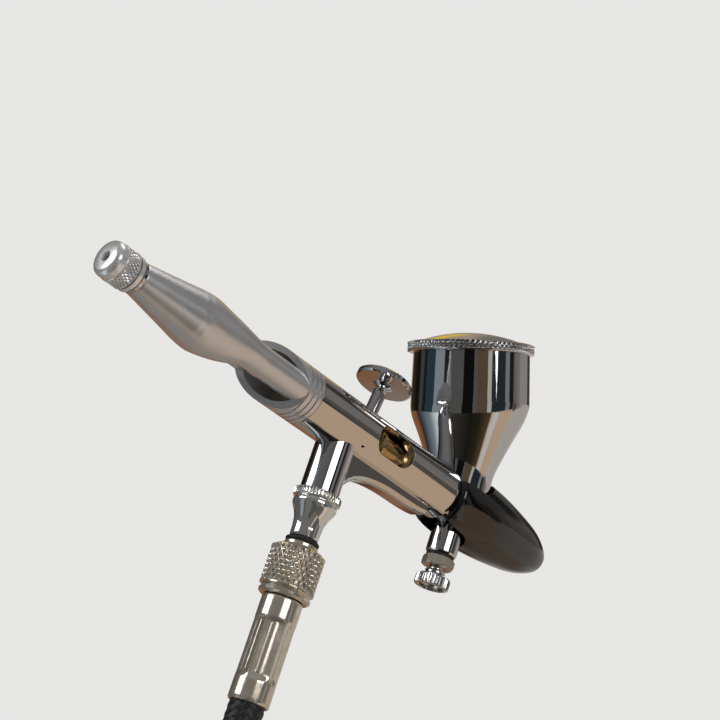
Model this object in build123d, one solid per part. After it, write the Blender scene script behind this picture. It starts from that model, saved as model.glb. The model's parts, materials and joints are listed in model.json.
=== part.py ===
from build123d import *
from math import cos, radians, sin, tan
import os

# Gravity-feed airbrush. Millimetres. The barrel lies along X with its nozzle at +X, the trigger
# stands up along +Z, and the origin is where the air-valve axis meets the barrel axis.

# ---- Barrel ----
BARREL_R = 6.1
BARREL_REAR = -13.0
BARREL_SHOULDER = 34.8
NECK_R = 5.2
NECK_FRONT = 49.0
CHAMBER_R = 4.2
CHAMBER_FRONT = 19.6
PAINT_WAY_R = 1.2
RUNNING_GAP = 0.05

# ---- Window milled in the right side of the barrel ----
WINDOW_X = (5.8, 17.7)
WINDOW_LIFT = 3.0
WINDOW_WIDTH = 6.3
WINDOW_CORNER = 2.9

# ---- Web under the barrel, with its underside as (x, z) points ----
WEB_HALF_WIDTH = 2.7
WEB_END = 30.0
WEB_UNDERSIDE = [(4.0, -12.4), (6.4, -10.2), (10.5, -8.8), (18.0, -8.0), (WEB_END, -7.5)]
WEB_ROUND = 1.3
PLUG_R = 0.5
PLUG_Z = -6.7

# ---- Needle, chuck and spring ----
NEEDLE_R = 0.6
NEEDLE_TAIL = -19.4
NEEDLE_TAPER = 45.0
NEEDLE_TIP = 66.4
TIP_R = 0.08
GUIDE_R = 1.1
COLLAR_R = 2.5
COLLAR_X = (1.3, 2.5)
NUT_R = 1.3
NUT_X = (-19.5, -15.6)
CASE_X = (-13.0, -5.0)
CASE_WALL_X = -11.6
CASE_BORE_R = 3.4

# ---- Trigger, leaning forward at rest about its foot ----
PIVOT_X = 5.6
PIVOT_Z = -2.8
FOOT_R = 1.6
FOOT_HALF_WIDTH = 1.55
STEM_R = 1.5
TRIGGER_LEAN = 8.0
BUTTON_R = 6.35
BUTTON_TOP = 14.7
BUTTON_EDGE = 1.5
SLOT_WIDTH = 3.4
SLOT_X = (0.6, 9.0)
SLOT_FLOOR = -8.0

# ---- Auxiliary lever behind the trigger ----
LEVER_X = (2.6, 3.4)
LEVER_PIN_Z = -3.4
LEVER_PIN_R = 0.5
LEVER_TOP = 3.4
LEVER_HALF_WIDTH = 1.6
FORK_HALF_GAP = 0.75

# ---- Air valve, straight down from the origin ----
VALVE_R = 4.2
VALVE_BOSS_END = -16.1
VALVE_BORE_R = 2.6
SEAT_Z = -10.0
VALVE_STEM_R = 0.8
VALVE_NECK_END = -26.2
AIR_WAY_R = 1.5

# ---- Hose end ----
NUT_TOP = -28.6
NUT_KNURL_R = 5.75
NUT_END = -39.2
FERRULE_R = 4.2
FERRULE_X = (-39.3, -61.2)
HOSE_END = -84.0
HOSE_R = 3.75
LINER_R = 2.9
LINER_BORE_R = 2.0
BARB_R = 2.2
BARB_END = -61.0
BARBS = 7
BARB_PITCH = 3.1

# ---- Air-adjust valve under the front ----
MAC_X = 41.5
MAC_R = 3.55
MAC_TOP = -6.0
MAC_HOUSING_END = -12.2
MAC_NUT_END = -15.2
MAC_KNOB_TOP = -17.4
MAC_KNOB_END = -20.0
MAC_KNOB_R = 3.95

# ---- Paint cup, on an axis that leans back from the barrel ----
CUP_AXIS_X = 45.6
CUP_LEAN = 22.7
CUP_TOP = 36.1
CUP_KNEE = 24.7
CUP_R = 13.35
CUP_KNEE_R = 13.6
CUP_WALL = 0.8
LID_R = 14.25

# ---- Funnel under the cup, leaning less than the cup; stations are (depth below the knee, radius) ----
FUNNEL_LEAN = 13.5
FUNNEL_OUTSIDE = [
    (0.0, CUP_KNEE_R), (1.5, 13.4), (3.2, 12.95), (5.0, 12.2),
    (9.0, 10.3), (13.0, 8.6), (16.0, 7.6), (20.5, 7.1),
]
FUNNEL_INSIDE = [(0.0, CUP_KNEE_R - CUP_WALL), (3.2, 12.1), (5.0, 11.3), (9.0, 9.2), (13.0, 6.2), (15.2, 3.2)]
FUNNEL_BASE = 3.3
OUTLET_R = 1.5

# ---- Nozzle end ----
HEAD_SPIGOT_END = 57.0
AIR_CAP_X = (53.2, 64.4)
CROWN_X = (61.6, 68.4)

# ---- Nose cap ----
CAP_REAR = 35.0
CAP_R = 8.4
CAP_TIP = 74.8
CAP_WALL = 1.3
CAP_SLOT_FRONT = 48.9
CAP_SLOT_TOP = 7.8
CAP_SLOT_FLOOR = 3.1
CAP_SLOT_BOTTOM = 4.4

# ---- Handle: the cutaway opens towards the lower right, and the strap is opposite ----
HANDLE_FRONT = -13.1
HANDLE_REAR = -62.0
HANDLE_BORE_R = 4.8
OPENING_CLOCK = 205.0
STRAP_HALF_ANGLE = 34.0
CUT_MIDDLE = -22.8
CUT_SLOPE = 0.92
SPINE_R = 3.15
SPINE_LIFT = 0.85
SPINE_OUT = 2.8
SPINE_FRONT = -13.4
SPINE_BORE_R = 1.42
GROOVES = (-14.3, -15.7, -17.1)
BULB_R = 5.95
TAIL_R = 3.4

# ---- Preset knob at the rear ----
KNOB_REAR = -70.0
KNOB_FRONT = -62.9
KNOB_R = 3.9
PRESET_STEM_R = 1.2
PRESET_STEM_FRONT = -24.0


def turned(points, axis=Axis.X):
    """A closed solid turned about X or Z from (along, radius) outline points."""
    if axis == Axis.X:
        outline = [(along, 0, radius) for along, radius in points]
    else:
        outline = [(radius, 0, along) for along, radius in points]
    return revolve(make_face(Polyline(outline, close=True)), axis, 360)


def rod_x(start, end, radius, y=0.0, z=0.0):
    """A plain cylinder along X."""
    middle = (start + end) / 2
    return Pos(middle, y, z) * Rot(0, 90, 0) * Cylinder(radius, abs(end - start))


def rod_z(start, end, radius, x=0.0):
    """A plain cylinder along Z at x."""
    return Pos(x, 0, (start + end) / 2) * Cylinder(radius, abs(end - start))


def rod_y(x, z, radius, half_width):
    """A plain cylinder along Y."""
    return Pos(x, 0, z) * Rot(90, 0, 0) * Cylinder(radius, 2 * half_width)


def block(x, y, z):
    """A box from (low, high) pairs."""
    size = [high - low for low, high in (x, y, z)]
    middle = [(high + low) / 2 for low, high in (x, y, z)]
    return Pos(*middle) * Box(*size)


def sleeve_x(start, end, outer, inner):
    """A plain tube along X."""
    return rod_x(start, end, outer) - rod_x(start - 1, end + 1, inner)


def ring(axis_location, radius, wire):
    """An O-ring of the given centre-line and wire radius."""
    return axis_location * Torus(radius, wire)


def coil(start, end, radius, wire, turns):
    """A round-wire compression spring about Z, trimmed flat between start and end."""
    height = end - start - 2 * wire
    path = Helix(height / turns, height, radius, center=(0, 0, start + wire))
    section = Plane(origin=path @ 0, z_dir=path % 0) * Circle(wire)
    return sweep(section, path, is_frenet=True)


def on_cup_axis(shape):
    """Moves a shape built about Z onto the leaning cup axis."""
    return Pos(CUP_AXIS_X, 0, 0) * Rot(0, -CUP_LEAN, 0) * shape


def long_slot(x, half_width, z):
    """A vertical slot with round ends, along X, spanning z."""
    ends = [
        rod_z(z[0], z[1], half_width, x[0] + half_width),
        rod_z(z[0], z[1], half_width, x[1] - half_width),
    ]
    middle = block((x[0] + half_width, x[1] - half_width), (-half_width, half_width), z)
    return ends[0] + ends[1] + middle


def window_cut():
    """The round-cornered pocket that opens the barrel's right side."""
    length = WINDOW_X[1] - WINDOW_X[0]
    outline = RectangleRounded(length, WINDOW_WIDTH, WINDOW_CORNER)
    cutter = extrude(outline, BARREL_R)
    middle = (WINDOW_X[0] + WINDOW_X[1]) / 2
    return Pos(middle, 0, 0) * Rot(90 - WINDOW_LIFT, 0, 0) * Pos(0, 0, 0.6) * cutter


def web():
    """The plate under the barrel that joins the valve boss to the front."""
    roof = -2.0
    under = Spline([(x, 0, z) for x, z in WEB_UNDERSIDE])
    first_x, first_z = WEB_UNDERSIDE[0]
    front = [(WEB_END, 0, WEB_UNDERSIDE[-1][1]), (WEB_END, 0, roof)]
    sides = Polyline(*front, (0, 0, roof), (0, 0, first_z), (first_x, 0, first_z))
    plate = extrude(make_face(under + sides), WEB_HALF_WIDTH, dir=(0, 1, 0), both=True)
    long_edges = [edge for edge in plate.edges() if edge.center().Z < -7 and edge.length > 15]
    return fillet(long_edges, WEB_ROUND)


def main_body():
    """Chrome barrel with valve boss, web and air-adjust boss in one piece."""
    body = rod_x(BARREL_REAR, BARREL_SHOULDER, BARREL_R) + rod_x(BARREL_SHOULDER, NECK_FRONT, NECK_R)
    body += rod_z(VALVE_BOSS_END, -2.0, VALVE_R) + web()
    body += rod_z(MAC_TOP, -3.0, MAC_R, MAC_X)
    body -= rod_x(BARREL_REAR - 1, CHAMBER_FRONT, CHAMBER_R)
    body -= rod_x(CHAMBER_FRONT - 1, NECK_FRONT + 1, PAINT_WAY_R)
    body -= rod_x(NECK_FRONT - 0.8, NECK_FRONT + 1, 2.5)
    body -= long_slot(SLOT_X, SLOT_WIDTH / 2, (0, BARREL_R + 1))
    body -= block((-2.8, 8.4), (-SLOT_WIDTH / 2, SLOT_WIDTH / 2), (SLOT_FLOOR, 0))
    body -= window_cut()
    body -= outlet()
    body -= rod_z(VALVE_BOSS_END - 1, SEAT_Z, VALVE_BORE_R)
    body -= rod_z(SEAT_Z - 1, SLOT_FLOOR + 1, VALVE_STEM_R + RUNNING_GAP)
    body -= rod_z(MAC_TOP - 1, -4.6, 1.6, MAC_X)
    body -= rod_x(WEB_END - 1.5, WEB_END + 1, PLUG_R, z=PLUG_Z)
    body -= rod_y(sum(LEVER_X) / 2, LEVER_PIN_Z, LEVER_PIN_R, 5.0)
    return body


def air_passage_plug():
    """Domed plug that closes the drilled air way at the web's front face."""
    back, face = WEB_END - 1.5, WEB_END + 0.8
    outline = [(back, 0), (back, PLUG_R), (face - 0.2, PLUG_R), (face, 0.3), (face, 0)]
    return Pos(0, 0, PLUG_Z) * turned(outline)


def needle():
    """Paint needle with a long taper."""
    shank = [(NEEDLE_TAIL, 0), (NEEDLE_TAIL, NEEDLE_R), (NEEDLE_TAPER, NEEDLE_R)]
    return turned(shank + [(NEEDLE_TIP, TIP_R), (NEEDLE_TIP, 0)])


def needle_chuck_guide():
    """Tube with a front collar; the lever pushes the collar back."""
    tube = rod_x(NUT_X[1], COLLAR_X[1], GUIDE_R) + rod_x(COLLAR_X[0], COLLAR_X[1], COLLAR_R)
    return tube - rod_x(NUT_X[1] - 1, COLLAR_X[1] + 1, NEEDLE_R)


def needle_chuck_nut():
    """Slim nut that clamps the guide's end onto the needle."""
    rear, front = NUT_X
    nut = turned([(rear, 0), (rear, NUT_R - 0.2), (rear + 0.3, NUT_R), (front, NUT_R), (front, 0)])
    return nut - rod_x(rear + 0.1, front + 1, NEEDLE_R)


def needle_spring():
    """Return spring between the chuck guide's collar and the spring case."""
    wire = 0.3
    return Rot(0, 90, 0) * coil(CASE_WALL_X + 0.02, COLLAR_X[0] - 0.02, 1.9, wire, 9)


def spring_case():
    """Sleeve screwed into the barrel's rear that backs up the needle spring."""
    case = rod_x(*CASE_X, CHAMBER_R) - rod_x(CASE_WALL_X, CASE_X[1] + 1, CASE_BORE_R)
    return case - rod_x(CASE_X[0] - 1, CASE_WALL_X + 1, GUIDE_R + RUNNING_GAP)


def packing_housing():
    """Brass sleeve seen through the window; it holds the needle packing."""
    back, front, waist = 9.4, CHAMBER_FRONT, 3.7
    profile = [(back, 0), (back, 3.9), (back + 0.3, CHAMBER_R), (back + 1.3, CHAMBER_R), (back + 1.9, waist)]
    profile += [(front - 2.4, waist), (front - 1.8, CHAMBER_R), (front, CHAMBER_R), (front, 0)]
    return turned(profile) - rod_x(back - 1, 17.5, 1.9) - rod_x(17, front + 1, NEEDLE_R + 0.1)


def needle_packing():
    """Soft washer squeezed round the needle."""
    return sleeve_x(16.2, 17.5, 1.9, NEEDLE_R + 0.02)


def packing_screw():
    """Slotted hollow screw that tightens the packing."""
    screw = sleeve_x(11.4, 16.2, 1.9, NEEDLE_R + 0.15)
    return screw - block((11.3, 12.2), (-2, 2), (0.9, 2)) - block((11.3, 12.2), (-2, 2), (-2, -0.9))


def trigger():
    """Finger button on a round stem; the foot rocks on the valve plunger."""
    height = BUTTON_TOP - PIVOT_Z
    under = height - BUTTON_EDGE
    half_gap = FORK_HALF_GAP
    profile = [(0, 0), (0, STEM_R), (under - 1.6, STEM_R), (under - 1.3, 1.15), (under - 0.8, 1.15)]
    profile += [(under - 0.1, 2.3), (under, 5.9), (under + 0.25, BUTTON_R), (under + 1.1, BUTTON_R)]
    profile += [(under + 1.5, 5.9), (under + 1.25, 4.0), (under + 1.1, 0)]
    lever_arm = turned(profile, Axis.Z) - block((-3, 3), (-half_gap, half_gap), (1.5, 6.2))
    leaning = Pos(PIVOT_X, 0, PIVOT_Z) * Rot(0, TRIGGER_LEAN, 0) * lever_arm
    foot = rod_y(PIVOT_X, PIVOT_Z, FOOT_R, FOOT_HALF_WIDTH)
    return leaning + foot - block((0, 12), (-half_gap, half_gap), (PIVOT_Z + 1.3, 0))


def auxiliary_lever():
    """Fork that straddles the needle and passes the trigger's pull to the chuck guide."""
    middle = sum(LEVER_X) / 2
    plate = block(LEVER_X, (-LEVER_HALF_WIDTH, LEVER_HALF_WIDTH), (LEVER_PIN_Z, LEVER_TOP))
    plate += rod_y(middle, LEVER_PIN_Z, LEVER_PIN_R + 0.3, LEVER_HALF_WIDTH)
    plate -= block((2, 5), (-FORK_HALF_GAP, FORK_HALF_GAP), (-1.4, LEVER_TOP + 1))
    return plate - rod_y(middle, LEVER_PIN_Z, LEVER_PIN_R + 0.03, 3)


def lever_pin():
    """Cross pin pressed into the barrel."""
    return rod_y(sum(LEVER_X) / 2, LEVER_PIN_Z, LEVER_PIN_R, 4.6)


def valve_plunger():
    """Plunger with a forward arm under the trigger's foot and a flange for the spring."""
    top = PIVOT_Z - FOOT_R
    arm = block((-2.2, PIVOT_X + 1.2), (-1.5, 1.5), (top - 1.2, top))
    stem = rod_z(top - 1, -13.6, VALVE_STEM_R)
    return arm + stem + rod_z(-11.4, -10.7, 2.1)


def valve_seal():
    """Rubber washer that closes the air way against the seat."""
    return rod_z(-10.7, SEAT_Z, 2.1) - rod_z(-11, SEAT_Z + 1, VALVE_STEM_R)


def valve_spring():
    """Spring that pushes the plunger shut."""
    return coil(-15.18, -11.42, 1.5, 0.22, 4)


def valve_retainer():
    """Slotted ring screw that holds the valve spring."""
    return rod_z(VALVE_BOSS_END, -15.2, VALVE_BORE_R) - rod_z(VALVE_BOSS_END - 1, -15, 1.2)


def valve_casing():
    """Lower valve fitting: toothed collar, shoulder, tapered neck and hose thread."""
    top = VALVE_BOSS_END
    neck = [(top, 0), (top, 4.9), (top - 0.2, 5.1), (top - 1.5, 5.1), (top - 1.8, 4.8), (top - 2.7, 4.7)]
    neck += [(top - 4.0, 4.35), (top - 5.6, 3.6), (top - 7.4, 3.15), (VALVE_NECK_END, 3.0)]
    neck += [(VALVE_NECK_END - 0.1, 2.7), (-34.0, 2.7), (-34.0, 0)]
    return turned(neck, Axis.Z) - rod_z(top + 1, -35, AIR_WAY_R)


def neck_o_ring():
    """O-ring under the valve neck, just above the hose nut."""
    return ring(Pos(0, 0, VALVE_NECK_END - 0.58), 3.15, 0.45)


def hose_nut():
    """Knurled union nut that turns freely round the hose stem."""
    nut = [(-27.3, 0), (-27.3, 3.6), (NUT_TOP, 3.7), (NUT_TOP - 0.1, 5.2), (NUT_TOP - 0.5, NUT_KNURL_R)]
    nut += [(NUT_END + 1.9, NUT_KNURL_R), (NUT_END + 1.6, 5.1), (NUT_END + 1.3, 5.1), (NUT_END + 1.1, 5.5)]
    nut += [(NUT_END + 0.4, 5.4), (NUT_END, 4.7), (NUT_END, 0)]
    bore = rod_z(-27, -35.6, 2.75) + rod_z(-35.5, -37.4, 4.0) + rod_z(-37, NUT_END - 1, 3.2)
    return turned(nut, Axis.Z) - bore


def hose_stem():
    """Barbed stem: a flange held inside the nut and a tail inside the hose."""
    root = BARB_R - 0.2
    stem = [(-35.7, 0), (-35.7, 3.9), (-37.2, 3.9), (-37.3, 3.1), (-39.3, 3.1), (-39.4, BARB_R)]
    for barb in range(BARBS):
        rise = -40.4 - BARB_PITCH * barb
        stem += [(rise, root), (rise - 0.2, BARB_R), (rise - 1.6, root)]
    stem += [(BARB_END, root), (BARB_END, 0)]
    return turned(stem, Axis.Z) - rod_z(-35, BARB_END - 1, 1.2)


def hose_washer():
    """Sealing washer between the valve thread's end and the hose stem."""
    return rod_z(-35.7, -34.2, 2.6) - rod_z(-36, -34, AIR_WAY_R)


def ferrule():
    """Crimped sleeve that clamps the braided hose onto its stem."""
    top, end = FERRULE_X
    crimp = top - 4.2
    outer = [(top, 3.2), (top, FERRULE_R - 0.3), (top - 0.4, FERRULE_R), (crimp, FERRULE_R)]
    outer += [(crimp - 1.0, FERRULE_R - 0.3), (crimp - 2.2, FERRULE_R - 0.3), (crimp - 3.2, FERRULE_R)]
    outer += [(end + 5.6, FERRULE_R), (end + 5.0, FERRULE_R + 0.1), (end + 4.4, FERRULE_R)]
    outer += [(end + 0.3, FERRULE_R), (end, FERRULE_R - 0.2), (end, HOSE_R), (top - 0.6, HOSE_R), (top - 0.6, 3.2)]
    return turned(outer, Axis.Z)


def hose_liner():
    """Rubber inner tube of the hose, stretched over the barbed stem."""
    tube = rod_z(-40.0, HOSE_END, LINER_R) - rod_z(-39, HOSE_END - 1, LINER_BORE_R)
    return tube - rod_z(-39, BARB_END - 0.5, BARB_R)


def hose_braid():
    """Braided jacket of the hose."""
    return rod_z(-40.0, HOSE_END + 0.6, HOSE_R) - rod_z(-39, HOSE_END - 1, LINER_R)


def mac_housing():
    """Housing of the air-adjust valve."""
    outline = [(MAC_TOP, 0), (MAC_TOP, MAC_R), (MAC_HOUSING_END + 0.4, MAC_R)]
    outline += [(MAC_HOUSING_END, MAC_R - 0.3), (MAC_HOUSING_END, 0)]
    housing = turned(outline, Axis.Z) - rod_z(MAC_TOP + 1, -13, 1.6)
    return Pos(MAC_X, 0, 0) * housing


def mac_o_ring():
    """O-ring between the housing and the gland nut."""
    return ring(Pos(MAC_X, 0, MAC_HOUSING_END - 0.4), 2.8, 0.4)


def mac_gland_nut():
    """Hexagon gland nut."""
    top, end = MAC_HOUSING_END - 0.8, MAC_NUT_END
    hexagon = extrude(Plane.XY.offset(end) * RegularPolygon(3.75, 6), top - end)
    keep = turned([(top, 0), (top, 3.4), (top - 0.4, 3.8), (end + 0.4, 3.8), (end, 3.4), (end, 0)], Axis.Z)
    spigot = rod_z(top, MAC_HOUSING_END, 2.4)
    return Pos(MAC_X, 0, 0) * ((hexagon & keep) + spigot - rod_z(-12, -16, 1.6 + RUNNING_GAP))


def mac_screw():
    """Adjusting screw: pointed stem, narrow neck and knurled knob with a hollow end."""
    outline = [(-6.6, 0), (-8.0, 0.7), (-8.6, 1.0), (-9.2, 1.0), (-9.2, 0.9), (-10.2, 0.9)]
    outline += [(-10.2, 1.0), (-11.2, 1.6)]
    outline += [(-15.9, 1.6), (-16.1, 2.3), (MAC_KNOB_TOP + 0.3, 2.3), (MAC_KNOB_TOP, MAC_KNOB_R - 0.3)]
    outline += [(MAC_KNOB_TOP - 0.3, MAC_KNOB_R), (MAC_KNOB_END + 0.4, MAC_KNOB_R), (MAC_KNOB_END, MAC_KNOB_R - 0.3)]
    outline += [(MAC_KNOB_END, 2.9), (MAC_KNOB_END + 1.2, 2.7), (MAC_KNOB_END + 1.2, 0)]
    return Pos(MAC_X, 0, 0) * turned(outline, Axis.Z)


def mac_stem_seal():
    """Small O-ring carried in the screw's groove."""
    return ring(Pos(MAC_X, 0, -9.7), 1.22, 0.3)


def funnel_circle(depth, radius):
    """A circle on the funnel's centre line, tilted from the cup's lean at the knee to its own below."""
    lean = CUP_LEAN + (FUNNEL_LEAN - CUP_LEAN) * min(1.0, depth / FUNNEL_INSIDE[-1][0])
    knee_x = CUP_AXIS_X - CUP_KNEE * sin(radians(CUP_LEAN))
    knee_z = CUP_KNEE * cos(radians(CUP_LEAN))
    centre = (knee_x + depth * sin(radians(FUNNEL_LEAN)), 0, knee_z - depth * cos(radians(FUNNEL_LEAN)))
    return Plane(origin=centre, z_dir=(-sin(radians(lean)), 0, cos(radians(lean)))) * Circle(radius)


def cup_solid(stations, top_r, top):
    """Solid cup: a lofted funnel under a slightly tapered wall."""
    funnel = loft([funnel_circle(depth, radius) for depth, radius in stations])
    knee_r = stations[0][1]
    wall = turned([(CUP_KNEE, 0), (CUP_KNEE, knee_r), (top, top_r), (top, 0)], Axis.Z)
    return funnel + on_cup_axis(wall)


def outlet():
    """Paint outlet from the funnel's floor down into the barrel's paint way."""
    start = funnel_circle(FUNNEL_INSIDE[-1][0] - 0.6, OUTLET_R)
    return extrude(start, 9.0, dir=(sin(radians(FUNNEL_LEAN)), 0, -cos(radians(FUNNEL_LEAN))))


def paint_cup():
    """Open cup whose funnel sits astride the barrel."""
    cup = cup_solid(FUNNEL_OUTSIDE, CUP_R, CUP_TOP)
    cup -= cup_solid(FUNNEL_INSIDE, CUP_R - CUP_WALL, CUP_TOP + 1)
    cup -= block((CUP_AXIS_X - 20, CUP_AXIS_X + 10), (-12, 12), (-9, FUNNEL_BASE))
    cup -= rod_x(BARREL_REAR, BARREL_SHOULDER, BARREL_R)
    cup -= rod_x(BARREL_SHOULDER - 1, NECK_FRONT + 5, NECK_R)
    return cup - outlet()


def cup_lid():
    """Domed lid with a knurled rim, a plug inside the cup and a vent hole."""
    plug = CUP_R - CUP_WALL - 0.1
    rim = [(CUP_TOP - 2.2, plug - 0.8), (CUP_TOP - 2.2, plug), (CUP_TOP, plug), (CUP_TOP, LID_R - 0.5)]
    rim += [(CUP_TOP + 0.4, LID_R - 0.2), (CUP_TOP + 0.5, LID_R)]
    rim += [(CUP_TOP + 1.9, LID_R), (CUP_TOP + 2.2, LID_R - 0.5)]
    top = CUP_TOP + 2.3
    dome = ThreePointArc((12.6, 0, top), (7.2, 0, top + 1.75), (0, 0, top + 2.5))
    under = ThreePointArc((0, 0, top + 1.7), (7.0, 0, top + 0.9), (plug - 0.8, 0, top - 1.0))
    edge = Polyline((plug - 0.8, 0, top - 1.0), *[(radius, 0, along) for along, radius in rim], (12.6, 0, top))
    crown = Line((0, 0, top + 2.5), (0, 0, top + 1.7))
    lid = revolve(make_face(dome + crown + under + edge), Axis.Z, 360)
    return on_cup_axis(lid - rod_z(top, top + 4, 0.6))


def head_seal():
    """Soft ring between the barrel and the fluid head."""
    return sleeve_x(NECK_FRONT - 0.8, NECK_FRONT, 2.5, PAINT_WAY_R)


def fluid_head():
    """Head base with a flange and a spigot for the nozzle and air cap."""
    head = rod_x(NECK_FRONT, AIR_CAP_X[0], 5.0) + rod_x(AIR_CAP_X[0], HEAD_SPIGOT_END, 3.6)
    for turn in range(6):
        clock = radians(60 * turn)
        head -= rod_x(NECK_FRONT + 1, HEAD_SPIGOT_END + 1, 0.45, 2.5 * cos(clock), 2.5 * sin(clock))
    return head - rod_x(NECK_FRONT - 1, HEAD_SPIGOT_END + 1, PAINT_WAY_R)


def fluid_nozzle():
    """Tapered paint nozzle seated on the head."""
    start, end = HEAD_SPIGOT_END, 64.8
    outer = [(start, PAINT_WAY_R), (start, 1.9), (start + 1.6, 1.9), (start + 2.2, 1.45), (end, 0.55), (end, 0.3)]
    outer += [(start + 3.0, 0.85)]
    return turned(outer)


def nozzle_cap():
    """Air cap that surrounds the fluid nozzle."""
    start, end = AIR_CAP_X
    outer = [(start, 3.6), (start, 4.7), (start + 3.4, 4.7), (start + 3.8, 4.5), (end - 3.6, 3.1), (end - 3.4, 2.6)]
    outer += [(end, 2.4), (end, 0.8), (end - 1.4, 1.3), (HEAD_SPIGOT_END + 1.2, 3.2), (HEAD_SPIGOT_END, 3.6)]
    return turned(outer)


def needle_cap():
    """Crown that guards the needle's tip."""
    start, end = CROWN_X
    outside = [(start, 2.62), (start, 3.2), (end - 2.6, 3.2), (end, 2.7)]
    crown = turned(outside + [(end, 1.9), (end - 3.6, 2.4), (end - 3.9, 2.62)])
    for turn in range(4):
        notch = Pos(end, 0, 0) * Rot(45 + 90 * turn, 0, 0) * Pos(0, 0, 3) * Rot(0, 0, 90) * Rot(90, 0, 0)
        crown -= notch * Cylinder(1.0, 4)
    return crown


def cap_outline(offset):
    """Outline of the nose cap's skin, moved inwards by offset."""
    rear, tip = CAP_REAR, CAP_TIP - offset
    skin = [(rear + 0.9, 7.6 - offset), (rear + 4.0, 8.05 - offset), (46.0, CAP_R - offset)]
    skin += [(56.0, 7.75 - offset), (62.0, 6.9 - offset), (68.0, 5.65 - offset), (72.2, 4.0 - offset * 0.9)]
    points = [(along, 0, radius) for along, radius in skin] + [(tip, 0, 0)]
    body = Spline(points, tangents=[(1, 0, 0.25), (0, 0, -1)])
    return body, skin[0]


def nose_cap():
    """Glossy cap over the nozzle end, slotted for the cup's foot and the air-adjust valve."""
    skin, start = cap_outline(0.0)
    lip = ThreePointArc((start[0], 0, start[1]), (CAP_REAR + 0.25, 0, 7.3), (CAP_REAR, 0, 6.8))
    back = Polyline((CAP_REAR, 0, 6.8), (CAP_REAR, 0, 0), (CAP_TIP, 0, 0))
    shell = revolve(make_face(skin + lip + back), Axis.X, 360)
    hollow, first = cap_outline(CAP_WALL)
    front_pocket = Polyline((first[0], 0, first[1]), (first[0], 0, 0), (CAP_TIP - CAP_WALL, 0, 0))
    shell -= revolve(make_face(hollow + front_pocket), Axis.X, 360)
    shell -= rod_x(CAP_REAR - 1, CAP_REAR + 4, NECK_R + RUNNING_GAP)
    shell -= long_slot((CAP_REAR - 10, CAP_SLOT_FRONT), CAP_SLOT_TOP, (CAP_SLOT_FLOOR, 12))
    shell -= long_slot((CAP_REAR - 8, MAC_X + CAP_SLOT_BOTTOM), CAP_SLOT_BOTTOM, (-12, 0))
    return shell - rod_x(CAP_TIP - 3, CAP_TIP + 1, 0.5)


def handle_sector(start, end, half_angle):
    """Wall of the handle tube on the strap's side, between two x positions."""
    tube = sleeve_x(start, end, BARREL_R, HANDLE_BORE_R)
    reach = 20.0
    spread = reach * tan(radians(half_angle))
    wedge = Polyline((start, 0, 0), (start, -spread, reach), (start, spread, reach), close=True)
    keep = extrude(make_face(wedge), end - start, dir=(1, 0, 0))
    return tube & Rot(OPENING_CLOCK - 270, 0, 0) * keep


def front_ring():
    """Handle's front tube, cut obliquely so that it opens towards the lower right."""
    tube = sleeve_x(CUT_MIDDLE - 8, HANDLE_FRONT, BARREL_R, HANDLE_BORE_R)
    reach = 9.0
    side = Polyline(
        (CUT_MIDDLE - CUT_SLOPE * reach, 0, -reach), (CUT_MIDDLE + CUT_SLOPE * reach, 0, reach),
        (CUT_MIDDLE - 22, 0, reach), (CUT_MIDDLE - 22, 0, -reach), close=True
    )
    cutter = extrude(make_face(side), reach, dir=(0, 1, 0), both=True)
    return tube - Rot(OPENING_CLOCK - 90, 0, 0) * cutter


def lifted_circle(x, lift, out, radius):
    """A circle across X, its centre lifted square to the opening and moved out towards it."""
    clock = radians(OPENING_CLOCK)
    centre = (x, lift * sin(clock) + out * cos(clock), out * sin(clock) - lift * cos(clock))
    return Plane(origin=centre, z_dir=(1, 0, 0)) * Circle(radius)


def spine():
    """Bulb's front end, drawn in to a rod that runs flush with the ring on the open side."""
    stations = [(-45.0, 0.0, 0.0, BULB_R), (-42.6, 0.02, 0.1, 5.8), (-40.0, 0.15, 0.6, 5.3)]
    stations += [(-37.2, 0.45, 1.35, 4.6), (-34.6, 0.8, 2.15, 3.8), (-31.5, 0.9, 2.65, SPINE_R + 0.1)]
    stations += [(-28.0, SPINE_LIFT, SPINE_OUT, SPINE_R)]
    bulb_end = loft([lifted_circle(*station) for station in stations])
    rod = lifted_circle(-28.0, SPINE_LIFT, SPINE_OUT, SPINE_R)
    return bulb_end + extrude(rod, SPINE_FRONT + 28.0, dir=(1, 0, 0))


def handle():
    """Aluminium handle: front ring, strap, bulb, tapered tail and guide rod."""
    tail = [(HANDLE_REAR, 0), (HANDLE_REAR, TAIL_R - 0.1), (HANDLE_REAR + 0.4, TAIL_R), (-52.0, 4.95)]
    tail += [(-48.0, 5.65), (-46.2, 5.88), (-45.0, BULB_R), (-45.0, 0)]
    whole = turned(tail) + spine()
    whole += handle_sector(-43.5, -26.0, STRAP_HALF_ANGLE) + front_ring()
    for groove in GROOVES:
        whole -= sleeve_x(groove - 0.15, groove + 0.15, BARREL_R + 1, BARREL_R - 0.18)
    return whole - rod_x(HANDLE_REAR - 1, HANDLE_FRONT + 1, SPINE_BORE_R)


def tail_collar():
    """Bright ring at the handle's rear end."""
    return sleeve_x(HANDLE_REAR - 0.7, HANDLE_REAR, 3.45, SPINE_BORE_R)


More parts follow.
